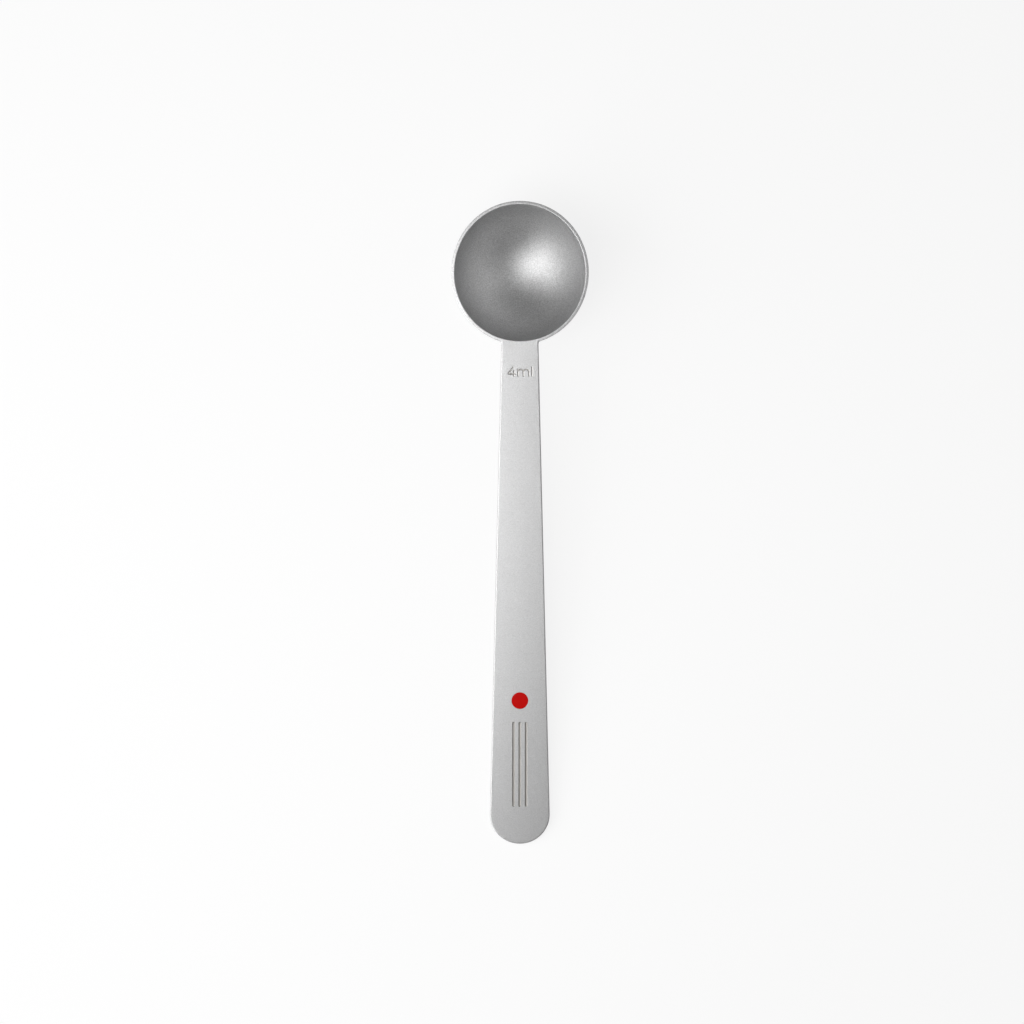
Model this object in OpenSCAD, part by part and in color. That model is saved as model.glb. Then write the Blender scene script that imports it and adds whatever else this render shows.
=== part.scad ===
// One-piece measuring spoon: a deep, slightly oval bowl on a flat handle that widens to a round end.
// It lies as it rests on a table, on the bottom of the bowl and the lower edge of the handle's end.
// Millimetres and degrees. +Z is up, +Y runs from the round end to the bowl.

/* [Bowl] */
// Level-full capacity of the bowl, in millilitres
capacity_ml = 4; // [1:0.5:15]
// Length of the bowl's mouth over its width
bowl_stretch = 1.04; // [1:0.01:1.2]
// Wall of the bowl
bowl_wall = 0.6; // [0.5:0.05:1.5]

/* [Handle] */
// Length from the outside of the bowl to the far end
handle_len = 95.3; // [60:0.1:160]
// Width where the handle meets the bowl
neck_w = 6.95; // [5:0.05:9]
// Width of the round end
end_w = 11.4; // [9.5:0.1:16]
// Thickness of the handle
handle_t = 1.2; // [0.8:0.1:2.5]
// Radius of the softened edges of the handle
edge_r = 0.2; // [0.1:0.01:0.25]

/* [Neck] */
// Radius in plan where each side of the handle runs into the bowl
neck_r = 0.5; // [0.3:0.1:1.5]
// Radius of the fillet between the underside of the handle and the bowl
under_r = 1; // [0.4:0.1:2]

/* [Marks] */
// Diameter of the shallow seat for the round colour mark
seat_d = 3.2; // [2:0.1:5]
// Depth of that seat
seat_depth = 0.1; // [0.05:0.01:0.3]
// Distance from the far end of the handle to the centre of that seat
seat_from_end = 27.7; // [25:0.1:35]
// Number of pressed flutes side by side
flute_count = 3; // [1:1:4]
// Width of one flute
flute_w = 0.55; // [0.3:0.05:0.8]
// Distance between the centres of two flutes
flute_pitch = 1.2; // [1:0.05:1.6]
// Length of a flute over its round ends
flute_len = 16.4; // [6:0.1:17]
// Depth of a flute
flute_depth = 0.2; // [0.1:0.01:0.3]
// Distance from the far end of the handle to the flutes
flute_from_end = 7.2; // [5:0.1:8]

/* [Hidden] */
$fn = 96;
steel = [0.72, 0.72, 0.73];
cubic_mm_per_ml = 1000;
// Overshoot of a cutter past the face that it opens
over = 1;

// Bowl: the lower half of an ellipsoid, as deep as half its width and stretched along the handle
inner_r = pow(3 * capacity_ml * cubic_mm_per_ml / (2 * PI * bowl_stretch), 1 / 3);
outer_r = inner_r + bowl_wall;
outer_half_len = outer_r * bowl_stretch;

// Plan of the handle, seen from above, with the centre of the round end at the origin
end_r = end_w / 2;
neck_half = neck_w / 2;
neck_y = handle_len - end_r;
bowl_y = neck_y + outer_half_len;
// Half angle between the sides: each one passes the neck's corner and touches the round end
chord = norm([neck_y, neck_half]);
taper = asin(end_r / chord) - asin(neck_half / chord);
// Outward normal of the right side, and the distance of a point from that side
side_n = [cos(taper), sin(taper)];
function beside(p) = side_n * (p - [neck_half, neck_y]);

// Where a rising function passes zero, by halving the interval
function root(f, low, high, steps = 40) =
    let (mid = (low + high) / 2)
    steps == 0 ? mid
    : f(mid) > 0 ? root(f, low, mid, steps - 1)
    : root(f, mid, high, steps - 1);

// The bowl's oval outline near the neck, from the bowl's centre. The angle counts from the handle.
// The same oval is the bowl's section along the handle, with the depth in place of the width.
function oval(a) = [outer_r * sin(a), -outer_half_len * cos(a)];
function oval_normal(a) =
    let (n = [sin(a) / outer_r, -cos(a) / outer_half_len])
    n / norm(n);
function off_oval(a, gap) = oval(a) + gap * oval_normal(a);

// Centre of the circle that rounds the corner between the right side and the bowl:
// it lies one corner radius off the oval and as far off the side
corner_a = root(function (a) beside([0, bowl_y] + off_oval(a, neck_r)) - neck_r, 0, 90);
corner = [0, bowl_y] + off_oval(corner_a, neck_r);
// Directions from that centre to the points where the circle touches the bowl and the side
to_bowl = -oval_normal(corner_a);
to_side = -side_n;

// Fillet under the neck: its centre lies one fillet radius off the bowl and under the handle.
// It turns about the upright axis on which the oval's end is centred.
ball_a = root(function (a) off_oval(a, under_r)[0] - handle_t - under_r, 0, 90);
ball = off_oval(ball_a, under_r);
turn_y = outer_r * (1 / bowl_stretch - bowl_stretch);

// Rest: the tilt at which the bowl and the lower edge of the round end reach down to one table
end_in = end_r - edge_r;
function bowl_reach(t) = norm([outer_half_len * sin(t), outer_r * cos(t)]);
function end_reach(t) = end_in * sin(t) + (handle_t - edge_r) * cos(t) + edge_r;
tilt = root(function (t) bowl_y * sin(t) + end_reach(t) - bowl_reach(t), 0, 45);
far_y = bowl_y * cos(tilt) + norm([outer_half_len * cos(tilt), outer_r * sin(tilt)]);
near_y = edge_r * sin(tilt) - end_in * cos(tilt) - edge_r;

// Edge of the plate in section: softened at both corners of its outer side
module edge_section(width) {
    translate([0, -handle_t])
        square([width - edge_r, handle_t]);
    translate([0, edge_r - handle_t])
        square([width, handle_t - 2 * edge_r]);
    for (z = [-edge_r, edge_r - handle_t])
        translate([width - edge_r, z])
            circle(r = edge_r, $fn = 24);
}

// Disc as thick as the handle, with softened edges
module soft_disc(r) {
    rotate_extrude()
        edge_section(r);
}

// The flat handle. Its sides touch the round end and run on straight past the neck's corners. The
// narrow end lies where the bowl is hollowed.
module handle_flat() {
    past = neck_r;
    hull() {
        soft_disc(end_r);
        translate([0, neck_y + past, 0])
            soft_disc((neck_half - past * tan(taper)) * cos(taper));
    }
}

// Rounded corner between the right side and the bowl: a web that reaches into both
module neck_corner() {
    deep = 3 * neck_r;
    translate([corner[0], corner[1], edge_r - handle_t])
        linear_extrude(handle_t - edge_r)
            difference() {
                polygon([[0, 0], deep * to_bowl, deep * (to_bowl + to_side), deep * to_side]);
                circle(r = neck_r);
            }
}

module handle() {
    handle_flat();
    for (turned = [0, 1])
        mirror([turned, 0, 0])
            neck_corner();
}

// Ellipsoid turned about the handle's direction, from an oval that is stretched along it
module ellipsoid(r) {
    rotate([-90, 0, 0])
        rotate_extrude()
            intersection() {
                scale([1, bowl_stretch])
                    circle(r = r);
                translate([0, -2 * r])
                    square(4 * r);
            }
}

// Bowl before it is hollowed, cut level at the rim
module bowl_body() {
    block = 4 * outer_r;
    intersection() {
        ellipsoid(outer_r);
        translate([-block / 2, -block / 2, -block])
            cube(block);
    }
}

// Fillet that carries the handle on the outside of the bowl, within the flat of the underside
module under_fillet() {
    radius = turn_y - ball[1];
    sweep = asin((neck_half - 2 * edge_r) / radius);
    in_wall = off_oval(ball_a, -bowl_wall / 2);
    translate([0, turn_y, 0])
        rotate([0, 0, -90 - sweep])
            rotate_extrude(angle = 2 * sweep)
                difference() {
                    polygon([
                        [radius, -ball[0]],
                        [radius, -handle_t / 2],
                        [turn_y + outer_half_len - bowl_wall / 2, -handle_t / 2],
                        [turn_y - in_wall[1], -in_wall[0]]
                    ]);
                    translate([radius, -ball[0]])
                        circle(r = under_r);
                }
}

// Shallow round seat of the colour mark
module mark_seat() {
    translate([0, seat_from_end - end_r, -seat_depth])
        cylinder(d = seat_d, h = seat_depth + over);
}

// Pressed flutes along the handle, with round ends
module flutes() {
    run = flute_len - flute_w;
    for (i = [0 : flute_count - 1])
        translate([(i - (flute_count - 1) / 2) * flute_pitch, flute_from_end - end_r, -flute_depth])
            linear_extrude(flute_depth + over) {
                translate([-flute_w / 2, flute_w / 2])
                    square([flute_w, run]);
                for (y = [0, run])
                    translate([0, y + flute_w / 2])
                        circle(d = flute_w);
            }
}

// The whole spoon with its top level, and the centre of the round end at the origin
module level_spoon() {
    difference() {
        union() {
            handle();
            translate([0, bowl_y, 0]) {
                bowl_body();
                under_fillet();
            }
        }
        translate([0, bowl_y, 0])
            ellipsoid(inner_r);
        mark_seat();
        flutes();
    }
}

// The spoon as it rests, with its box centred on the Z axis and standing on the table
module spoon() {
    color(steel)
        translate([0, -(far_y + near_y) / 2, end_reach(tilt)])
            rotate([tilt, 0, 0])
                level_spoon();
}

spoon();
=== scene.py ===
"""Looks of a one-piece steel measuring spoon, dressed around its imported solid.

The spoon is first worked out level, in millimetres: the top of the handle lies at height zero, the
centre of the handle's round end at the origin, and the bowl in the direction of +Y. Then it is
tilted into its rest on the table, in metres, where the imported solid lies.
"""

import logging
import math
from dataclasses import dataclass
from enum import Enum
from functools import cached_property
from typing import Any, Callable, Sequence, Union

import bmesh
import bpy
import numpy as np
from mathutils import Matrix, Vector
from mathutils.geometry import delaunay_2d_cdt


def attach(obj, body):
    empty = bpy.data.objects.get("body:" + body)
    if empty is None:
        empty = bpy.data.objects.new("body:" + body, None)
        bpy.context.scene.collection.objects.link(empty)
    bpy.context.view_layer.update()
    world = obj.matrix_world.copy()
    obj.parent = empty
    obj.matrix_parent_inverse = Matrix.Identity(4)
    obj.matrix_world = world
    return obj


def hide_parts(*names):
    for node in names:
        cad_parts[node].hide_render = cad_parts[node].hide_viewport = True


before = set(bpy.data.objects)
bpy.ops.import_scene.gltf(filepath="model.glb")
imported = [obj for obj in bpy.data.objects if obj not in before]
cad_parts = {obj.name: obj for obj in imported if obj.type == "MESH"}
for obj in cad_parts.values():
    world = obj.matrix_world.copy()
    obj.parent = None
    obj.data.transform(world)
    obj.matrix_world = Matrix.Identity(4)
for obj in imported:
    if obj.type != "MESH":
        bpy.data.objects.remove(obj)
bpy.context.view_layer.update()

LOG = logging.getLogger("spoon")
METRES_PER_MM = 0.001
CUBIC_MM_PER_ML = 1000
HALVINGS = 60
# Points that are this near to each other are one.
SAME_IN_PLAN_MM = 1e-7
SAME_AT_REST_METRES = 1e-6
# The layer that tells the steel's material where marks are pressed and how deep, where it paints shade
# into the recesses, full at this depth.
PRESSED_SHADE_LAYER = "pressed"
PRESSED_SHADE_FULL_MM = 0.08
WHITE = (1.0, 1.0, 1.0, 1.0)

Pair = tuple[float, float]
Triple = tuple[float, float, float]


class Region(Enum):
    """What a face of a mesh belongs to, which decides how it is shaded."""

    SKIN = 0
    TOP = 1
    UNDERSIDE = 2
    PRESSED = 3


def halving(rising: Callable[[Any], Any], low: Any, high: Any) -> Any:
    """Finds where a rising function passes zero, by halving the interval.

    Args:
        rising: The function, of one place or of many at once.
        low: A place or places where it is below zero.
        high: A place or places where it is above zero.

    Returns:
        The place or places where it is zero.
    """
    for _ in range(HALVINGS):
        middle = (low + high) / 2
        above = rising(middle) > 0
        low, high = np.where(above, low, middle), np.where(above, middle, high)
    return (low + high) / 2


def smooth(share: np.ndarray) -> np.ndarray:
    """Turns a share from 0 to 1 into one that starts and ends gently."""
    held = np.clip(share, 0, 1)
    return held * held * (3 - 2 * held)


def unit(vectors: np.ndarray) -> np.ndarray:
    """Gives each vector the length one."""
    return vectors / np.linalg.norm(vectors, axis=-1, keepdims=True)


def spokes(turn: np.ndarray) -> np.ndarray:
    """Arrows of length one at these angles from +X, seen from above."""
    return np.stack([np.cos(turn), np.sin(turn)], axis=-1)


def raised(plan: np.ndarray, height: Any) -> np.ndarray:
    """Points over these places seen from above, at one height or at a height each."""
    heights = np.broadcast_to(height, plan.shape[:-1])
    return np.concatenate([plan, heights[..., None]], axis=-1)


def rounded(radius: np.ndarray, steps: int) -> tuple[np.ndarray, np.ndarray]:
    """How far inside the outline a quarter round's points lie, and how high, as rows of stations."""
    turn = np.linspace(0, math.pi / 2, steps + 1)[:, None]
    return radius * (1 - np.sin(turn)), -radius * (1 - np.cos(turn))


def between_lines(faces: list[list[int]], lines: list[tuple[int, int]]) -> list[list[int]]:
    """Keeps the faces of a flat net that lie inside its outline and outside the holes in it.

    Args:
        faces: The faces of the net, which also fills the holes and the hollows of the outline.
        lines: The edges that make up the outline and the holes.

    Returns:
        The faces that an odd number of these lines parts from the outside of the net.
    """
    fences = {frozenset(line) for line in lines}
    owners: dict[frozenset[int], list[int]] = {}
    for number, face in enumerate(faces):
        for i, corner in enumerate(face):
            owners.setdefault(frozenset((corner, face[i - 1])), []).append(number)
    inside: dict[int, bool] = {}
    waiting = [(found[0], edge in fences) for edge, found in owners.items() if len(found) == 1]
    while waiting:
        number, within = waiting.pop()
        if number in inside:
            continue
        inside[number] = within
        face = faces[number]
        for i, corner in enumerate(face):
            edge = frozenset((corner, face[i - 1]))
            across = within != (edge in fences)
            waiting += [(other, across) for other in owners[edge] if other not in inside]
    return [face for number, face in enumerate(faces) if inside[number]]


@dataclass(frozen=True)
class SpoonSizes:
    """Sizes of the spoon in millimetres, as in its solid, and what follows from them."""

    capacity_ml: float = 4.0
    bowl_stretch: float = 1.04
    bowl_wall: float = 0.6
    handle_length: float = 95.3
    neck_width: float = 6.95
    end_width: float = 11.4
    thickness: float = 1.2
    edge: float = 0.2
    neck_radius: float = 0.5
    fillet: float = 1.0
    crown: float = 170.0
    crown_start: float = 2.0

    @cached_property
    def inner_radius(self) -> float:
        """Half width of the bowl's mouth, from the capacity of half an ellipsoid."""
        volume = self.capacity_ml * CUBIC_MM_PER_ML
        return (3 * volume / (2 * math.pi * self.bowl_stretch)) ** (1 / 3)

    @cached_property
    def outer_radius(self) -> float:
        """Half width of the bowl outside."""
        return self.inner_radius + self.bowl_wall

    @cached_property
    def outer_length(self) -> float:
        """Half length of the bowl outside."""
        return self.outer_radius * self.bowl_stretch

    @cached_property
    def end_radius(self) -> float:
        """Radius of the handle's round end."""
        return self.end_width / 2

    @cached_property
    def neck_y(self) -> float:
        """Where the handle meets the outside of the bowl."""
        return self.handle_length - self.end_radius

    @cached_property
    def bowl_y(self) -> float:
        """Middle of the bowl."""
        return self.neck_y + self.outer_length

    @cached_property
    def taper(self) -> float:
        """Half angle between the handle's sides."""
        chord = math.hypot(self.neck_y, self.neck_width / 2)
        return math.asin(self.end_radius / chord) - math.asin(self.neck_width / 2 / chord)

    @cached_property
    def side_normal(self) -> np.ndarray:
        """Outward normal of the handle's right side."""
        return np.array([math.cos(self.taper), math.sin(self.taper)])

    def oval(self, angle: np.ndarray, radius: float) -> np.ndarray:
        """Points on one of the bowl's ovals, from its middle, zero being the handle's side."""
        return radius * np.stack([np.sin(angle), -self.bowl_stretch * np.cos(angle)], axis=-1)

    def oval_normal(self, angle: np.ndarray) -> np.ndarray:
        """Outward normals of any of the bowl's ovals at these angles."""
        return unit(np.stack([self.bowl_stretch * np.sin(angle), -np.cos(angle)], axis=-1))

    @cached_property
    def corner_angle(self) -> float:
        """Angle about the bowl's middle at which the neck's rounded corner touches the bowl."""
        def beside(angle: float) -> float:
            """How much too far from the handle's side a corner circle lies."""
            away = self.corner_at(angle) - np.array([self.neck_width / 2, self.neck_y])
            return float(away @ self.side_normal) - self.neck_radius
        return halving(beside, 0, math.pi / 2)

    def corner_at(self, angle: float) -> np.ndarray:
        """Centre of a corner circle that touches the bowl at this angle."""
        around = self.oval(angle, self.outer_radius) + self.neck_radius * self.oval_normal(angle)
        return around + [0, self.bowl_y]

    @cached_property
    def fillet_angle(self) -> float:
        """Angle below the rim at which the fillet under the neck touches the bowl."""
        def depth(angle: float) -> float:
            """How much too deep a fillet lies that touches the bowl at this angle."""
            touch = self.outer_radius * math.sin(angle)
            return touch + self.fillet * abs(self.lean(angle)[1]) - self.thickness - self.fillet
        return halving(depth, 0, math.pi / 2)

    def lean(self, angle: float) -> np.ndarray:
        """Normal of the bowl's section along the handle, this far below the rim."""
        return unit(np.array([-math.cos(angle), -self.bowl_stretch * math.sin(angle)]))

    @cached_property
    def fillet_reach(self) -> float:
        """How far from the bowl that fillet starts on the back of the handle."""
        return self.fillet * abs(float(self.lean(self.fillet_angle)[0]))

    def end_reach(self, tilt: float) -> float:
        """How far below its middle the tilted round end reaches."""
        inset = self.end_radius - self.edge
        return inset * math.sin(tilt) + (self.thickness - self.edge) * math.cos(tilt) + self.edge

    @cached_property
    def tilt(self) -> float:
        """Tilt at which the bowl and the round end reach down to one table."""
        def apart(tilt: float) -> float:
            """How much lower the round end reaches than the bowl."""
            bowl = math.hypot(self.outer_length * math.sin(tilt), self.outer_radius * math.cos(tilt))
            return self.bowl_y * math.sin(tilt) + self.end_reach(tilt) - bowl
        return halving(apart, 0, math.pi / 4)

    @cached_property
    def slope(self) -> Pair:
        """Cosine and sine of the tilt."""
        return math.cos(self.tilt), math.sin(self.tilt)

    def turned(self, level: np.ndarray) -> np.ndarray:
        """Tilts points or directions about the middle of the round end.

        Args:
            level: The points or directions of the level spoon.

        Returns:
            The same ones, tilted.
        """
        cosine, sine = self.slope
        x, y, z = np.moveaxis(level, -1, 0)
        return np.stack([x, y * cosine - z * sine, y * sine + z * cosine], axis=-1)

    @cached_property
    def up(self) -> np.ndarray:
        """Direction that the flat top of the tilted spoon faces."""
        return self.turned(np.array([0.0, 0.0, 1.0]))

    def at_rest(self, points: np.ndarray) -> np.ndarray:
        """Moves level points to where they lie at rest.

        Args:
            points: Points of the level spoon, in millimetres.

        Returns:
            The same points at rest on the table, in metres.
        """
        cosine, sine = self.slope
        far = self.bowl_y * cosine + math.hypot(self.outer_length * cosine, self.outer_radius * sine)
        near = self.edge * sine - (self.end_radius - self.edge) * cosine - self.edge
        shift = np.array([0, -(far + near) / 2, self.end_reach(self.tilt)])
        return (self.turned(points) + shift) * METRES_PER_MM

    def top_normals(self, places: np.ndarray) -> np.ndarray:
        """Works out the normals of the top: the rim is level, the handle is faintly crowned across.

        Args:
            places: Points at rest, in metres.

        Returns:
            The normals there, at rest.
        """
        neck = self.at_rest(np.array([[0, self.neck_y, 0]]))[0, 1]
        share = smooth((neck - places[:, 1]) / (self.crown_start * METRES_PER_MM))
        lean = share * places[:, 0] / (self.crown * METRES_PER_MM)
        return unit(self.up + lean[:, None] * [1, 0, 0])


def placed(name: str, data: Any) -> bpy.types.Object:
    """Puts something into the scene.

    Args:
        name: Its name.
        data: Its mesh, lamp or camera.

    Returns:
        The object.
    """
    thing = bpy.data.objects.new(name, data)
    bpy.context.scene.collection.objects.link(thing)
    return thing


class MeshDraft:
    """Patches of one closed mesh, in level millimetres, which share the points on their borders."""

    def __init__(self) -> None:
        """Starts with no patch."""
        self.points: list[np.ndarray] = []
        self.faces: list[tuple[int, ...]] = []
        self.regions: list[Region] = []
        self.count = 0

    def add(self, points: np.ndarray, faces: Sequence[Sequence[int]], region: Region) -> None:
        """Adds one patch.

        Args:
            points: Its points, one row each.
            faces: Its faces, as numbers of those points.
            region: What its faces belong to.
        """
        self.faces += [tuple(int(corner) + self.count for corner in face) for face in faces]
        self.regions += [region] * len(faces)
        self.points.append(points)
        self.count += len(points)

    def add_grid(self, grid: np.ndarray, region: Region, ring: bool = False) -> None:
        """Adds rows of points, joined by four-sided faces.

        Args:
            grid: The points, as rows, columns and coordinates.
            region: What the faces belong to.
            ring: Whether the last column joins the first.
        """
        number = np.arange(grid.shape[0] * grid.shape[1]).reshape(grid.shape[:2])
        if ring:
            number = np.concatenate([number, number[:, :1]], axis=1)
        corners = [number[:-1, :-1], number[:-1, 1:], number[1:, 1:], number[1:, :-1]]
        self.add(grid.reshape(-1, 3), np.stack(corners, axis=-1).reshape(-1, 4), region)

    def add_flat(self, loops: Sequence[np.ndarray], region: Region) -> None:
        """Fills a level area between closed lines of points.

        Args:
            loops: The outline and the holes in it, each a closed line of points of one height.
            region: What the faces belong to.
        """
        points = np.concatenate(loops)
        starts = np.cumsum([0] + [len(loop) for loop in loops])
        edges = [
            (int(start + i), int(start + (i + 1) % len(loop)))
            for start, loop in zip(starts, loops)
            for i in range(len(loop))
        ]
        flat = [Vector((float(x), float(y))) for x, y in points[:, :2]]
        triangles, source = delaunay_2d_cdt(flat, edges, [], 0, SAME_IN_PLAN_MM, True)[2:4]
        faces = [[source[corner][0] for corner in triangle] for triangle in triangles]
        self.add(points, between_lines(faces, edges), region)

    def build(self, name: str, sizes: SpoonSizes, material: bpy.types.Material) -> bpy.types.Object:
        """Joins the patches, lays them at rest and shades them.

        Args:
            name: The piece's name.
            sizes: Sizes of the spoon, which say how it rests.
            material: Its material.

        Returns:
            The new piece.
        """
        mesh = bpy.data.meshes.new(name)
        mesh.from_pydata(sizes.at_rest(np.concatenate(self.points)).tolist(), [], self.faces)
        mesh.polygons.foreach_set("material_index", [region.value for region in self.regions])
        work = bmesh.new()
        work.from_mesh(mesh)
        bmesh.ops.remove_doubles(work, verts=work.verts, dist=SAME_AT_REST_METRES)
        bmesh.ops.recalc_face_normals(work, faces=work.faces)
        loose = sum(1 for edge in work.edges if len(edge.link_faces) != 2)
        work.to_mesh(mesh)
        work.free()
        LOG.info("%s: %d faces, %d open edges", name, len(mesh.polygons), loose)
        shade(mesh, sizes)
        note_depth(mesh, sizes)
        mesh.materials.append(material)
        mesh.polygons.foreach_set("material_index", [0] * len(mesh.polygons))
        return placed(name, mesh)


def read(items: Any, name: str, kind: type, width: int = 1) -> np.ndarray:
    """Reads one property of all the points, corners or faces of a mesh.

    Args:
        items: The mesh's vertices, loops or polygons.
        name: The property.
        kind: The type of its numbers.
        width: How many numbers each item has.

    Returns:
        The numbers, in rows of that width, or in one plain row where it is 1.
    """
    values = np.zeros(len(items) * width, kind)
    items.foreach_get(name, values)
    return values if width == 1 else values.reshape(-1, width)


def note_depth(mesh: bpy.types.Mesh, sizes: SpoonSizes) -> None:
    """Stores how far each point of the pressed marks lies below the top, as a share from 0 to 1, by
    which the steel's material paints shade into these recesses.

    Args:
        mesh: The mesh, whose material numbers still name its regions.
        sizes: Sizes of the spoon, which say where the top lies.
    """
    places = read(mesh.vertices, "co", float, 3)
    top = sizes.at_rest(np.zeros((1, 3)))
    depth = (top - places) @ sizes.up / METRES_PER_MM
    region = read(mesh.polygons, "material_index", np.int32)
    pressed = np.zeros(len(mesh.vertices))
    for number in np.flatnonzero(region == Region.PRESSED.value):
        corners = list(mesh.polygons[int(number)].vertices)
        pressed[corners] = depth[corners]
    layer = mesh.attributes.new(PRESSED_SHADE_LAYER, "FLOAT", "POINT")
    layer.data.foreach_set("value", smooth(pressed / PRESSED_SHADE_FULL_MM))


def shade(mesh: bpy.types.Mesh, sizes: SpoonSizes) -> None:
    """Gives every corner of a mesh its normal: flat regions stay flat, the rest is smooth.

    Args:
        mesh: The mesh, whose material numbers still name its regions.
        sizes: Sizes of the spoon, which say how the flat regions face.
    """
    mesh.polygons.foreach_set("use_smooth", [True] * len(mesh.polygons))
    places = read(mesh.vertices, "co", float, 3)
    flats = {
        Region.TOP: sizes.top_normals(places),
        Region.UNDERSIDE: np.tile(-sizes.up, (len(places), 1)),
    }
    corner = read(mesh.loops, "vertex_index", np.int32)
    start, total, region = (
        read(mesh.polygons, name, np.int32) for name in ("loop_start", "loop_total", "material_index")
    )
    facing = read(mesh.polygons, "normal", float, 3)
    owner = np.repeat(np.arange(len(total)), total)
    first = start[owner]
    spot = np.arange(len(corner)) - first
    after = places[corner[first + (spot + 1) % total[owner]]] - places[corner]
    before = places[corner[first + (spot - 1) % total[owner]]] - places[corner]
    opening = np.arccos(np.clip((unit(after) * unit(before)).sum(axis=1), -1, 1))
    normals = np.zeros((len(corner), 3))
    for kind in Region:
        mine = region[owner] == kind.value
        if kind in flats:
            normals[mine] = flats[kind][corner[mine]]
            continue
        gathered = np.zeros((len(places), 3))
        np.add.at(gathered, corner[mine], facing[owner[mine]] * opening[mine, None])
        for flat, normal in flats.items():
            touched = np.unique(corner[region[owner] == flat.value])
            gathered[touched] = normal[touched]
        normals[mine] = gathered[corner[mine]]
    mesh.normals_split_custom_set(unit(normals).tolist())


@dataclass(frozen=True)
class Outline:
    """The spoon's outline from above, as stations from the bowl's far side to the handle's tip."""

    sizes: SpoonSizes
    bowl_steps: int = 124
    neck_steps: int = 10
    near_steps: int = 8
    side_steps: int = 40
    end_steps: int = 44
    near_length: float = 1.4

    @cached_property
    def bowl_angles(self) -> np.ndarray:
        """Angles of the stations on the right half of the bowl."""
        return np.linspace(math.pi, self.sizes.corner_angle, self.bowl_steps + 1)

    @cached_property
    def stations(self) -> tuple[np.ndarray, np.ndarray, np.ndarray]:
        """Places, outward normals and bowl shares of the stations of the right half.

        Returns:
            The places, the normals, and a share that is 1 on the bowl, 0 on the handle and
            between them in the neck's rounded corner.
        """
        sizes = self.sizes
        bowl = sizes.oval(self.bowl_angles, sizes.outer_radius) + [0, sizes.bowl_y]
        bowl_normal = sizes.oval_normal(self.bowl_angles)
        corner = sizes.corner_at(sizes.corner_angle)
        inward = -sizes.oval_normal(np.array(sizes.corner_angle))
        from_turn = math.atan2(inward[1], inward[0])
        share = np.linspace(0, 1, self.neck_steps + 1)[1:]
        turn = from_turn + share * (math.pi + sizes.taper - from_turn)
        spoke = spokes(turn)
        neck = corner + sizes.neck_radius * spoke
        side_start = neck[-1]
        side_end = sizes.end_radius * sizes.side_normal
        length = np.linalg.norm(side_end - side_start)
        near = np.linspace(0, self.near_length / length, self.near_steps + 1)[1:]
        far = np.linspace(self.near_length / length, 1, self.side_steps + 1)[1:]
        run = np.concatenate([near, far])[:, None]
        side = side_start + run * (side_end - side_start)
        round_spoke = spokes(np.linspace(sizes.taper, -math.pi / 2, self.end_steps + 1)[1:])
        places = np.concatenate([bowl, neck, side, sizes.end_radius * round_spoke])
        side_normals = np.repeat(sizes.side_normal[None], len(side), axis=0)
        normals = np.concatenate([bowl_normal, -spoke, side_normals, round_spoke])
        handle = np.zeros(len(side) + len(round_spoke))
        shares = np.concatenate([np.ones(len(bowl)), 1 - smooth(share), handle])
        places[[0, -1], 0] = 0
        return places, normals, shares

    def whole(self, half: np.ndarray) -> np.ndarray:
        """Adds the left half to points of the right half, whose last but one axis is the stations."""
        mirrored = half[..., -2:0:-1, :] * np.array([-1, 1, 1])
        return np.concatenate([half, mirrored], axis=-2)


@dataclass(frozen=True)
class Bowl:
    """The bowl: the lip of its mouth, its inside, and its outside below the neck's fillet."""

    sizes: SpoonSizes
    outline: Outline
    lip: float = 0.12
    lip_at_neck: float = 0.08
    neck_half_angle: float = 0.2
    neck_fade: float = 0.15
    lip_steps: int = 6
    rings: int = 60
    inside_spokes: int = 256

    @cached_property
    def inside_angles(self) -> np.ndarray:
        """Angles of the points round the inside."""
        return np.linspace(-math.pi, math.pi, self.inside_spokes, endpoint=False)

    @cached_property
    def mouth(self) -> np.ndarray:
        """Rows of points from the flat of the rim over the lip to just inside the bowl."""
        angles = self.inside_angles
        near_neck = 1 - smooth((np.abs(angles) - self.neck_half_angle) / self.neck_fade)
        lip = self.lip + (self.lip_at_neck - self.lip) * near_neck
        out, height = rounded(lip, self.lip_steps)
        around = self.sizes.oval(angles, self.sizes.inner_radius)
        shrink = np.sqrt(1 - (height / self.sizes.inner_radius) ** 2)[..., None]
        plan = around * shrink + out[..., None] * self.sizes.oval_normal(angles)
        return raised(plan + [0, self.sizes.bowl_y], height)

    def add_inside(self, draft: MeshDraft) -> None:
        """Adds the lip and the inside of the bowl.

        Args:
            draft: The mesh in the making.
        """
        draft.add_grid(self.mouth, Region.SKIN, ring=True)
        start = np.arcsin(-self.mouth[-1, :, 2] / self.sizes.inner_radius)
        self.add_cup(draft, self.inside_angles, start, self.sizes.inner_radius)

    def add_outside(self, draft: MeshDraft, neck_angles: np.ndarray) -> None:
        """Adds the outside of the bowl, from where the fillet of the neck touches it.

        Args:
            draft: The mesh in the making.
            neck_angles: Angles of the points across the neck, from right to left.
        """
        right = self.outline.bowl_angles
        angles = np.concatenate([right, neck_angles[1:-1], -right[:0:-1]])
        start = np.full(len(angles), self.sizes.fillet_angle)
        self.add_cup(draft, angles, start, self.sizes.outer_radius)

    def add_cup(self, draft: MeshDraft, angles: np.ndarray, start: np.ndarray, radius: float) -> None:
        """Adds half an ellipsoid below a ring of points.

        Args:
            draft: The mesh in the making.
            angles: Angles of the points about the bowl's middle.
            start: Angle below the rim at which each column starts.
            radius: Half width of the ellipsoid.
        """
        share = np.linspace(0, 1, self.rings + 1)[:, None]
        down = start + share * (math.pi / 2 - start)
        plan = np.cos(down)[..., None] * self.sizes.oval(angles, radius) + [0, self.sizes.bowl_y]
        draft.add_grid(raised(plan, -radius * np.sin(down)), Region.SKIN, ring=True)


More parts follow.
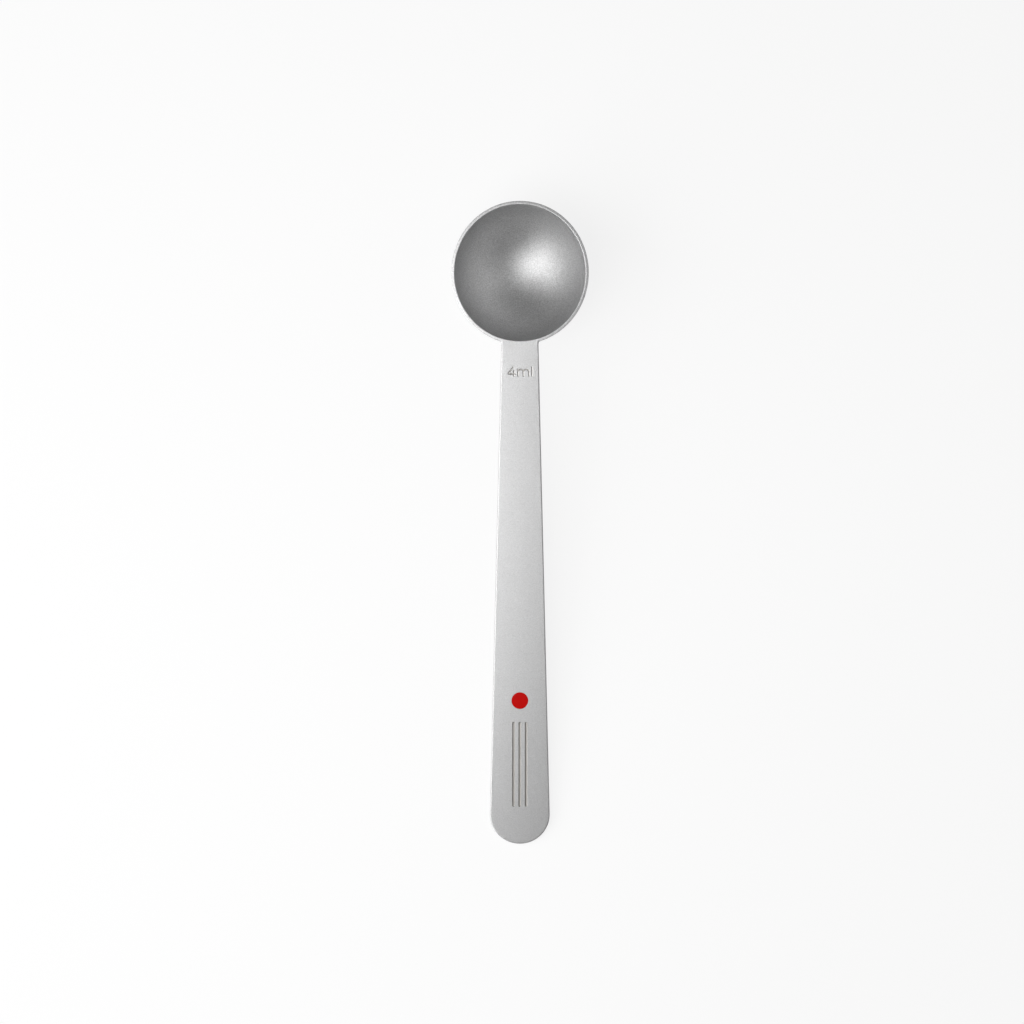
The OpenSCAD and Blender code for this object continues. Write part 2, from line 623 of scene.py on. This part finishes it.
@dataclass(frozen=True)
class Handle:
    """The handle's back with the neck's fillet, and the flat top and soft edge of the whole spoon."""

    sizes: SpoonSizes
    outline: Outline
    top_edge: float = 0.25
    rim_slope: float = 0.38
    rim_fall: float = 0.045
    rim_edge: float = 0.08
    edge_steps: int = 8
    wall_steps: int = 4
    neck_columns: int = 24
    past_fillet: float = 0.02

    @cached_property
    def across(self) -> np.ndarray:
        """Shares of the way from the middle of the neck to its sides, from right to left."""
        return np.linspace(1, -1, self.neck_columns + 1)

    @cached_property
    def touch_radius(self) -> float:
        """Half width of the bowl's oval on which the neck's fillet ends."""
        return self.sizes.outer_radius * math.cos(self.sizes.fillet_angle)

    def from_bowl(self, places: np.ndarray) -> tuple[np.ndarray, np.ndarray]:
        """Measures points from the level of the bowl where the neck's fillet ends.

        Args:
            places: Points beside the bowl, seen from above.

        Returns:
            Their distance from the bowl, and the angle about its middle of the nearest point.
        """
        local = places - [0, self.sizes.bowl_y]
        def past(angle: np.ndarray) -> np.ndarray:
            """Grows with how far the oval's points at these angles lie past the nearest ones."""
            tangent = np.stack([np.cos(angle), self.sizes.bowl_stretch * np.sin(angle)], axis=1)
            return ((self.sizes.oval(angle, self.touch_radius) - local) * tangent).sum(axis=1)
        angle = halving(past, np.zeros(len(places)), np.full(len(places), math.pi / 2))
        gap = local - self.sizes.oval(angle, self.touch_radius)
        return (gap * self.sizes.oval_normal(angle)).sum(axis=1), angle

    def under(self, distance: np.ndarray) -> np.ndarray:
        """Height of the handle's back at a distance from the bowl, with the neck's fillet."""
        along = np.clip(self.sizes.fillet_reach - distance, 0, None) / self.sizes.fillet
        return -self.sizes.thickness - self.sizes.fillet * (1 - np.sqrt(1 - along ** 2))

    @cached_property
    def lower_line(self) -> tuple[np.ndarray, np.ndarray, np.ndarray]:
        """The line on which the back starts, for each station of the right half.

        Returns:
            Its points, their distances from the bowl, and their angles about its middle.
        """
        places, normals, shares = self.outline.stations
        shrink = math.cos(self.sizes.fillet_angle) - 1
        toward = (places - [0, self.sizes.bowl_y]) * shrink * shares[:, None]
        plan = places - normals * (self.sizes.edge * (1 - shares))[:, None] + toward
        distance, angle = self.from_bowl(plan)
        distance = np.where(shares == 1, 0, distance)
        return raised(plan, self.under(distance)), distance, angle

    @cached_property
    def rim_profile(self) -> tuple[np.ndarray, np.ndarray]:
        """The rim's outward slope and its rounded edge: distances from the outline, and heights."""
        lean = math.atan2(self.rim_fall, self.rim_slope)
        steps = self.edge_steps // 2
        turn = np.linspace(lean, math.pi / 2, self.edge_steps - steps + 1)
        inset = self.rim_edge * (1 - np.sin(turn))
        height = self.rim_edge * (np.cos(turn) - math.cos(lean)) - self.rim_fall
        share = np.linspace(1, 0, steps + 1)[:-1]
        inset = np.concatenate([inset[0] + self.rim_slope * share, inset])
        height = np.concatenate([self.rim_fall * (share - 1), height])
        return inset[:, None], height[:, None]

    @cached_property
    def band(self) -> np.ndarray:
        """The edge of the right half: rows of stations from the top over the side to the back."""
        places, normals, shares = self.outline.stations
        inset, height = rounded(np.array([self.top_edge]), self.edge_steps)
        rim_inset, rim_height = self.rim_profile
        inset = inset + (rim_inset - inset) * shares
        height = height + (rim_height - height) * shares
        back = self.lower_line[0][:, 2]
        knee = back + self.sizes.edge * shares
        start = knee + self.sizes.edge
        fall = np.linspace(0, 1, self.wall_steps + 1)[1:-1, None]
        wall = height[-1] + fall * (start - height[-1])
        turn = (1 - shares) * math.pi / 2
        weight = np.cos(turn / 2)
        step = np.linspace(0, 1, self.edge_steps + 1)[:, None]
        pull = [(1 - step) ** 2, 2 * step * (1 - step) * weight, step ** 2]
        total = sum(pull)
        low_height = (pull[0] * start + pull[1] * knee + pull[2] * back) / total
        low_inset = pull[2] * self.sizes.edge * (1 - shares) / total
        insets = np.concatenate([inset, np.zeros_like(wall), low_inset])
        heights = np.concatenate([height, wall, low_height])
        shrink = np.sqrt(1 - (heights / self.sizes.outer_radius) ** 2) - 1
        toward = (places - [0, self.sizes.bowl_y]) * (shrink * shares)[..., None]
        plan = places - normals * insets[..., None] + toward
        rows = raised(plan, heights)
        rows[-1] = self.lower_line[0]
        rows[:, [0, -1], 0] = 0
        return rows

    @cached_property
    def neck_rows(self) -> np.ndarray:
        """Rows across the fillet under the neck, from the bowl to the flat of the back."""
        points, distance, angle = self.lower_line
        first = self.outline.bowl_steps
        flat_from = self.sizes.fillet_reach + self.past_fillet
        last = first + int(np.argmax(distance[first:] > flat_from))
        turns = angle[first:last + 1, None] * self.across
        turns[0] = self.neck_angles
        gaps = distance[first:last + 1, None]
        oval = self.sizes.oval(turns, self.touch_radius)
        plan = oval + gaps[..., None] * self.sizes.oval_normal(turns)
        rows = raised(plan + [0, self.sizes.bowl_y], self.under(gaps))
        rows[:, 0] = points[first:last + 1]
        rows[:, -1] = points[first:last + 1] * [-1, 1, 1]
        return rows

    @cached_property
    def neck_angles(self) -> np.ndarray:
        """Angles of the points across the neck where its fillet touches the bowl."""
        return self.sizes.corner_angle * self.across

    def add_edges(self, draft: MeshDraft) -> None:
        """Adds the softened edge all round."""
        draft.add_grid(self.outline.whole(self.band), Region.SKIN, ring=True)

    def add_back(self, draft: MeshDraft) -> None:
        """Adds the fillet under the neck and the flat back of the handle.

        Args:
            draft: The mesh in the making.
        """
        rows = self.neck_rows
        draft.add_grid(rows, Region.SKIN)
        line = self.lower_line[0]
        last = self.outline.bowl_steps + len(rows) - 1
        right = line[last:]
        left = right[-2::-1] * [-1, 1, 1]
        loop = np.concatenate([right, left, rows[-1, -2:0:-1]])
        loop[:, 2] = -self.sizes.thickness
        draft.add_flat([loop], Region.UNDERSIDE)

    def add_top(self, draft: MeshDraft, holes: Sequence[np.ndarray]) -> None:
        """Adds the flat top of the handle and the rim, with these closed lines left open."""
        draft.add_flat([self.outline.whole(self.band[0]), *holes], Region.TOP)


@dataclass(frozen=True)
class CapacityMark:
    """The figure 4 and the letters ml, pressed into the top of the handle beside the bowl."""

    middle: Pair = (0.03, 84.5)
    width: float = 5.4
    height: float = 2.6
    stroke: float = 0.21
    wall: float = 0.09
    depth: float = 0.07
    spacing: float = 0.03
    top: float = 0.81
    arch: float = 0.41
    legs: Triple = (-0.39, 0.61, 1.68)

    @property
    def strokes(self) -> list[tuple[Pair, Pair]]:
        """Straight strokes as pairs of ends, from the mark's middle."""
        low = -self.top
        first, second, third = self.legs
        return [
            ((-1.33, self.top), (-2.18, -0.36)),
            ((-2.18, -0.42), (-0.93, -0.42)),
            ((-1.16, 0.12), (-1.16, low)),
            ((first, self.arch), (first, low)),
            ((second, -0.1), (second, low)),
            ((third, -0.14), (third, low)),
            ((2.22, self.top), (2.22, low)),
        ]

    @property
    def arches(self) -> list[tuple[Pair, float]]:
        """The arches between the letter m's legs, as centres and radii, from the mark's middle."""
        spans = [((a + b) / 2, (b - a) / 2) for a, b in zip(self.legs, self.legs[1:])]
        return [((middle, self.arch - radius), radius) for middle, radius in spans]

    @cached_property
    def rows(self) -> np.ndarray:
        """Rows of points of the pressed patch."""
        columns = int(round(self.width / self.spacing))
        lines = int(round(self.height / self.spacing))
        x = np.linspace(-self.width / 2, self.width / 2, columns + 1)
        y = np.linspace(-self.height / 2, self.height / 2, lines + 1)
        grid = np.stack(np.meshgrid(x, y), axis=-1)
        near = np.full(grid.shape[:2], math.inf)
        for first, second in self.strokes:
            start, run = np.array(first), np.array(second) - np.array(first)
            share = np.clip(((grid - start) @ run) / (run @ run), 0, 1)
            near = np.minimum(near, np.linalg.norm(grid - start - share[..., None] * run, axis=-1))
        for centre, radius in self.arches:
            out = grid - np.array(centre)
            ring = np.abs(np.linalg.norm(out, axis=-1) - radius)
            near = np.where(out[..., 1] >= 0, np.minimum(near, ring), near)
        height = -self.depth * smooth((self.stroke / 2 - near) / self.wall + 0.5)
        return raised(grid + self.middle, height)

    @property
    def border(self) -> np.ndarray:
        """The closed line of points round the patch."""
        rows = self.rows
        return np.concatenate([rows[0], rows[1:-1, -1], rows[-1, ::-1], rows[-2:0:-1, 0]])

    def add_to(self, draft: MeshDraft) -> None:
        """Adds the pressed patch."""
        draft.add_grid(self.rows, Region.PRESSED)


@dataclass(frozen=True)
class Flutes:
    """Plain flutes pressed along the handle near its round end."""

    start: float = 1.5
    length: float = 16.4
    width: float = 0.55
    depth: float = 0.2
    pitch: float = 1.2
    count: int = 3
    side_steps: int = 30
    end_steps: int = 12

    @property
    def profile(self) -> list[Pair]:
        """How far inside the flute's outline each line lies, and its height."""
        shares = [
            (0, 0), (0.02, 0.03), (0.04, 0.12), (0.06, 0.3), (0.08, 0.55),
            (0.1, 0.75), (0.13, 0.9), (0.17, 0.975), (0.22, 1), (self.width / 2, 1),
        ]
        return [(inset, -self.depth * share) for inset, share in shares]

    def line(self, middle: float, inset: float, height: float) -> np.ndarray:
        """One closed line of points inside a flute.

        Args:
            middle: Where the flute lies across the handle.
            inset: How far inside its outline the line lies.
            height: Height of the line.

        Returns:
            The points.
        """
        radius = self.width / 2
        low, high = self.start + radius, self.start + self.length - radius
        run = np.linspace(low, high, self.side_steps + 1)
        turn = np.linspace(0, math.pi, self.end_steps + 1)
        kept = radius - inset
        right = np.stack([np.full(len(run), kept), run], axis=1)
        over = kept * spokes(turn)[1:-1] + [0, high]
        plan = np.concatenate([right, over, right[::-1] * [-1, 1], [0, low + high] - over])
        return raised(plan + [middle, 0], height)

    @property
    def middles(self) -> list[float]:
        """Where the flutes lie across the handle."""
        return [(i - (self.count - 1) / 2) * self.pitch for i in range(self.count)]

    @property
    def borders(self) -> list[np.ndarray]:
        """The closed lines of points round the flutes."""
        return [self.line(middle, 0, 0) for middle in self.middles]

    def add_to(self, draft: MeshDraft) -> None:
        """Adds the flutes.

        Args:
            draft: The mesh in the making.
        """
        for middle in self.middles:
            rows = [self.line(middle, inset, height) for inset, height in self.profile]
            draft.add_grid(np.stack(rows), Region.PRESSED, ring=True)


@dataclass(frozen=True)
class ColourDot:
    """The round colour mark: its shallow seat in the steel and the enamel that fills it."""

    middle: float = 22.0
    radius: float = 1.6
    depth: float = 0.1
    edge: float = 0.03
    gap: float = 0.01
    columns: int = 72

    def ring(self, radius: float, height: float) -> np.ndarray:
        """A circle of points about the mark's middle."""
        turn = np.linspace(0, 2 * math.pi, self.columns, endpoint=False)
        return raised(radius * spokes(turn) + [0, self.middle], height)

    @property
    def border(self) -> np.ndarray:
        """The closed line of points round the seat."""
        return self.ring(self.radius + self.edge, 0)

    def add_seat(self, draft: MeshDraft) -> None:
        """Adds the seat's softened edge, wall and floor.

        Args:
            draft: The mesh in the making.
        """
        wall = [(self.edge, 0), (0.018, -0.003), (0.008, -0.012), (0, -self.edge)]
        wall += [(0, -0.09), (-0.02, -self.depth)]
        rows = [self.ring(self.radius + out, height) for out, height in wall]
        rows += [self.ring(radius, -self.depth) for radius in (1.0, 0.5, 0)]
        draft.add_grid(np.stack(rows), Region.PRESSED, ring=True)

    def enamel(self, sizes: SpoonSizes, material: bpy.types.Material) -> bpy.types.Object:
        """Builds the enamel, slightly crowned, with a soft edge.

        Args:
            sizes: Sizes of the spoon, which say how it rests.
            material: The enamel's material.

        Returns:
            The new piece.
        """
        fit = self.radius - self.gap
        draft = MeshDraft()
        profile = [(0, 0.0), (0.4, -0.001), (0.8, -0.004), (1.2, -0.01), (1.4, -0.016)]
        profile += [(1.5, -0.024), (1.55, -0.033), (1.575, -0.045), (fit, -0.065)]
        profile += [(fit, -0.09), (1.2, -0.098), (0, -0.098)]
        rows = [self.ring(radius, height) for radius, height in profile]
        draft.add_grid(np.stack(rows), Region.SKIN, ring=True)
        return draft.build("colour_dot", sizes, material)


class Signal:
    """Output of a shader node, on which sums, products and the like are written as plain maths."""

    def __init__(self, graph: "Graph", socket: bpy.types.NodeSocket) -> None:
        """Keeps the socket and the node tree that it is in."""
        self.graph = graph
        self.socket = socket

    def _math(self, operation: str, first: Any, second: Any) -> "Signal":
        """Adds a Math node."""
        return self.graph.node("ShaderNodeMath", {0: first, 1: second}, operation=operation)

    def __add__(self, other: Any) -> "Signal":
        """Adds a value."""
        return self._math("ADD", self, other)

    __radd__ = __add__

    def __sub__(self, other: Any) -> "Signal":
        """Takes a value away."""
        return self._math("SUBTRACT", self, other)

    def __rsub__(self, other: Any) -> "Signal":
        """Takes this away from a number."""
        return self._math("SUBTRACT", other, self)

    def __mul__(self, other: Any) -> "Signal":
        """Multiplies by a value."""
        return self._math("MULTIPLY", self, other)

    __rmul__ = __mul__

    def highest(self, other: Any) -> "Signal":
        """The larger of this and a value."""
        return self._math("MAXIMUM", self, other)


Colour = Union[Signal, Triple]


@dataclass(frozen=True)
class Cloud:
    """A cloudy pattern: the size of its spots, how many finer layers it has and how strong they are."""

    size_mm: float
    detail: float = 2.0
    roughness: float = 0.5


class Graph:
    """The node tree of a material or of the world, filled from Python expressions."""

    def __init__(self, tree: bpy.types.NodeTree) -> None:
        """Empties the tree."""
        self.tree = tree
        tree.nodes.clear()

    def node(self, kind: str, values: dict[Any, Any], output: Any = 0, **settings: Any) -> Signal:
        """Adds a node.

        Args:
            kind: The node's type.
            values: The values or links of its sockets, by name or number.
            output: The output that is wanted, by name or number.
            settings: The node's own settings, which are set first.

        Returns:
            That output.
        """
        node = self.tree.nodes.new(kind)
        for name, value in settings.items():
            setattr(node, name, value)
        for name, value in values.items():
            if isinstance(value, Signal):
                self.tree.links.new(value.socket, node.inputs[name])
            else:
                node.inputs[name].default_value = value
        if not node.outputs:
            return Signal(self, None)
        return Signal(self, node.outputs[output])

    def noise(self, cloud: Cloud) -> Signal:
        """Adds a cloudy pattern that is fixed to the piece and whose values lie about one half."""
        values = {
            "Vector": self.node("ShaderNodeTexCoord", {}, "Object"),
            "Scale": 1 / (cloud.size_mm * METRES_PER_MM),
            "Detail": cloud.detail,
            "Roughness": cloud.roughness,
        }
        return self.node("ShaderNodeTexNoise", values, noise_dimensions="3D")

    def blend(self, share: Signal, low: Colour, high: Colour) -> Signal:
        """Mixes two colours, given as numbers or as outputs, by the share of the second."""
        first, second = (c if isinstance(c, Signal) else (*c, 1.0) for c in (low, high))
        return self.node("ShaderNodeMix", {"Factor": share, 6: first, 7: second}, 2, data_type="RGBA")

    def surface(self, shader: Signal) -> None:
        """Ends the tree with this shader."""
        self.node("ShaderNodeOutputMaterial", {"Surface": shader})


def new_material(name: str) -> tuple[bpy.types.Material, Graph]:
    """Makes an empty material.

    Args:
        name: Its name.

    Returns:
        The material and its node tree.
    """
    material = bpy.data.materials.new(name)
    material.use_nodes = True
    return material, Graph(material.node_tree)


@dataclass(frozen=True)
class BlastedSteel:
    """Steel with the fine grain of bead blasting, which is coarser to the eye on the bowl, and with
    painted shade in its pressed marks.
    """

    name: str = "blasted_steel"
    dark: Triple = (0.4, 0.4, 0.402)
    light: Triple = (0.72, 0.72, 0.722)
    # A darker, warm colour for the pressed marks: painted shade in the recesses, mixed in by their
    # depth.
    pressed: Triple = (0.43, 0.415, 0.395)
    roughness: float = 0.5
    roughness_swing: float = 0.12
    grain: Cloud = Cloud(0.18, 2.0, 0.6)
    mottle: Cloud = Cloud(0.9, 3.0, 0.55)
    cloud: Cloud = Cloud(14.0)
    height_shares: Pair = (0.9, 0.1)
    roughness_shares: Triple = (0.5, 0.3, 0.2)
    bump_mm: float = 0.02
    bump_strength: float = 1.0
    bowl_from_mm: Pair = (34.0, 36.0)
    bowl_contrast: float = 2.4

    def contrast(self, graph: Graph) -> Signal:
        """How strongly the grain shows, which is 1 on the handle and more on the bowl.

        Args:
            graph: The steel's node tree.

        Returns:
            The factor.
        """
        place = graph.node("ShaderNodeTexCoord", {}, "Object")
        along = graph.node("ShaderNodeSeparateXYZ", {0: place}, "Y")
        start, end = (mm * METRES_PER_MM for mm in self.bowl_from_mm)
        values = {"From Min": start, "From Max": end, "To Min": 1.0, "To Max": self.bowl_contrast}
        return graph.node("ShaderNodeMapRange", {"Value": along, **values})

    def material(self) -> bpy.types.Material:
        """Makes the material.

        Returns:
            The new material.
        """
        material, graph = new_material(self.name)
        grain, mottle, cloud = (graph.noise(one) for one in (self.grain, self.mottle, self.cloud))
        grain_part, mottle_part = self.height_shares
        height = grain * grain_part + mottle * mottle_part
        bump = graph.node("ShaderNodeBump", {
            "Strength": self.bump_strength,
            "Distance": self.bump_mm * METRES_PER_MM,
            "Height": height,
        })
        grain_part, mottle_part, cloud_part = self.roughness_shares
        spread = grain * grain_part + mottle * mottle_part + cloud * cloud_part
        rough = self.roughness + (spread - 0.5) * self.roughness_swing
        share = 0.5 + (height - 0.5) * self.contrast(graph)
        tone = graph.blend(share, self.dark, self.light)
        # Painted shade: the pressed marks turn darker the deeper they lie.
        pressed = graph.node("ShaderNodeAttribute", {}, "Fac", attribute_name=PRESSED_SHADE_LAYER)
        colour = graph.blend(pressed, tone, self.pressed)
        shader = graph.node("ShaderNodeBsdfPrincipled", {
            "Base Color": colour,
            "Metallic": 1.0,
            "Roughness": rough,
            "Normal": bump,
        })
        graph.surface(shader)
        return material


@dataclass(frozen=True)
class GlossEnamel:
    """Hard red enamel with a glossy, very slightly uneven face."""

    name: str = "red_enamel"
    dark: Triple = (0.46, 0.002, 0.001)
    light: Triple = (0.53, 0.003, 0.002)
    roughness: float = 0.4
    roughness_swing: float = 0.06
    specular: float = 0.06
    peel: Cloud = Cloud(0.5)
    shades: Cloud = Cloud(1.2)
    bump_mm: float = 0.004
    bump_strength: float = 0.3

    def material(self) -> bpy.types.Material:
        """Makes the material.

        Returns:
            The new material.
        """
        material, graph = new_material(self.name)
        peel = graph.noise(self.peel)
        bump = graph.node("ShaderNodeBump", {
            "Strength": self.bump_strength,
            "Distance": self.bump_mm * METRES_PER_MM,
            "Height": peel,
        })
        shader = graph.node("ShaderNodeBsdfPrincipled", {
            "Base Color": graph.blend(graph.noise(self.shades), self.dark, self.light),
            "Roughness": self.roughness + (peel - 0.5) * self.roughness_swing,
            "Specular IOR Level": self.specular,
            "Normal": bump,
        })
        graph.surface(shader)
        return material


def lamp_at(azimuth: float, zenith: float) -> Triple:
    """Direction of a lamp, from its angle about the vertical and its angle from straight above."""
    turn, fall = math.radians(azimuth), math.radians(zenith)
    return math.sin(fall) * math.cos(turn), math.sin(fall) * math.sin(turn), math.cos(fall)


@dataclass(frozen=True)
class SoftBox:
    """A studio lamp with an oblong, evenly lit face."""

    name: str
    direction: Triple
    distance: float
    width: float
    height: float
    radiance: float

    def build(self) -> None:
        """Hangs the lamp, facing the spoon."""
        data = bpy.data.lights.new(self.name, "AREA")
        data.shape = "RECTANGLE"
        data.size = self.width
        data.size_y = self.height
        data.energy = self.radiance * math.pi * self.width * self.height
        lamp = placed(self.name, data)
        away = Vector(self.direction).normalized()
        lamp.location = away * self.distance
        lamp.rotation_euler = away.to_track_quat("Z", "Y").to_euler()
        lamp.visible_camera = False


@dataclass(frozen=True)
class Studio:
    """The table, the room's light, the lamps and the camera."""

    floor_size: float = 4.0
    floor_colour: Triple = (0.9, 0.9, 0.9)
    floor_glow: float = 0.83
    room: Triple = (0.07, 0.07, 0.07)
    camera_place: Triple = (-0.0015, 0.00265, 0.55)
    lens: float = 101.1
    lamps: tuple[SoftBox, ...] = (
        SoftBox("top_box", lamp_at(194, 18), 0.245, 0.137, 0.157, 3.8),
        SoftBox("side_box", lamp_at(195, 59), 0.49, 0.65, 0.335, 3.4),
        SoftBox("fill_box", lamp_at(12, 53.6), 0.6, 0.31, 0.55, 0.7),
        SoftBox("ceiling", lamp_at(0, 0), 1.0, 1.6, 1.6, 0.12),
    )

    def build_floor(self) -> bpy.types.Object:
        """Makes the table top.

        Returns:
            The floor.
        """
        half = self.floor_size / 2
        corners = [(-half, -half, 0), (half, -half, 0), (half, half, 0), (-half, half, 0)]
        mesh = bpy.data.meshes.new("floor")
        mesh.from_pydata(corners, [], [(0, 1, 2, 3)])
        material, graph = new_material("pale_table")
        seen = graph.node("ShaderNodeLightPath", {}, "Is Camera Ray")
        for ray in ("Is Glossy Ray", "Is Transmission Ray"):
            seen = seen.highest(graph.node("ShaderNodeLightPath", {}, ray))
        matt = graph.node("ShaderNodeBsdfDiffuse", {"Color": (*self.floor_colour, 1.0)})
        glow = graph.node("ShaderNodeEmission", {"Color": WHITE, "Strength": 1.0})
        share = seen * self.floor_glow
        graph.surface(graph.node("ShaderNodeMixShader", {0: share, 1: matt, 2: glow}))
        mesh.materials.append(material)
        return placed("floor", mesh)

    def light_room(self) -> None:
        """Gives the room its soft light, and a white backdrop where it is seen."""
        world = bpy.data.worlds.new("room")
        world.use_nodes = True
        bpy.context.scene.world = world
        graph = Graph(world.node_tree)
        seen = graph.node("ShaderNodeLightPath", {}, "Is Camera Ray")
        dim, white = (
            graph.node("ShaderNodeBackground", {"Color": colour, "Strength": 1.0})
            for colour in ((*self.room, 1.0), WHITE)
        )
        mixed = graph.node("ShaderNodeMixShader", {0: seen, 1: dim, 2: white})
        graph.node("ShaderNodeOutputWorld", {"Surface": mixed})

    def hang_lamps(self) -> None:
        """Hangs all the lamps."""
        for lamp in self.lamps:
            lamp.build()
            LOG.info("lamp %s", lamp.name)

    def place_camera(self) -> None:
        """Looks straight down on the spoon, with the bowl at the top."""
        data = bpy.data.cameras.new("camera")
        data.lens = self.lens
        data.sensor_width = 36.0
        data.clip_start = 0.01
        camera = placed("camera", data)
        camera.location = self.camera_place
        bpy.context.scene.camera = camera


def build_steel(sizes: SpoonSizes, dot: ColourDot) -> bpy.types.Object:
    """Builds the whole steel body as one closed piece.

    Args:
        sizes: Sizes of the spoon.
        dot: The colour mark, whose seat is in the steel.

    Returns:
        The steel piece.
    """
    outline = Outline(sizes)
    handle = Handle(sizes, outline)
    bowl = Bowl(sizes, outline)
    mark = CapacityMark()
    flutes = Flutes()
    draft = MeshDraft()
    handle.add_edges(draft)
    handle.add_back(draft)
    handle.add_top(draft, [bowl.mouth[0], mark.border, dot.border, *flutes.borders])
    bowl.add_outside(draft, handle.neck_angles)
    bowl.add_inside(draft)
    mark.add_to(draft)
    dot.add_seat(draft)
    flutes.add_to(draft)
    return draft.build("steel_body", sizes, BlastedSteel().material())


def main() -> None:
    """Builds the studio and the spoon."""
    logging.basicConfig(level=logging.INFO, format="%(name)s: %(message)s")
    bpy.context.scene.view_settings.view_transform = "Standard"
    studio = Studio()
    studio.place_camera()
    studio.light_room()
    studio.hang_lamps()
    studio.build_floor()
    sizes = SpoonSizes()
    dot = ColourDot()
    body = build_steel(sizes, dot)
    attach(body, "root")
    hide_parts("spoon")
    enamel = dot.enamel(sizes, GlossEnamel().material())
    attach(enamel, "root")
    LOG.info("boxes written")


if __name__ == "__main__":
    main()
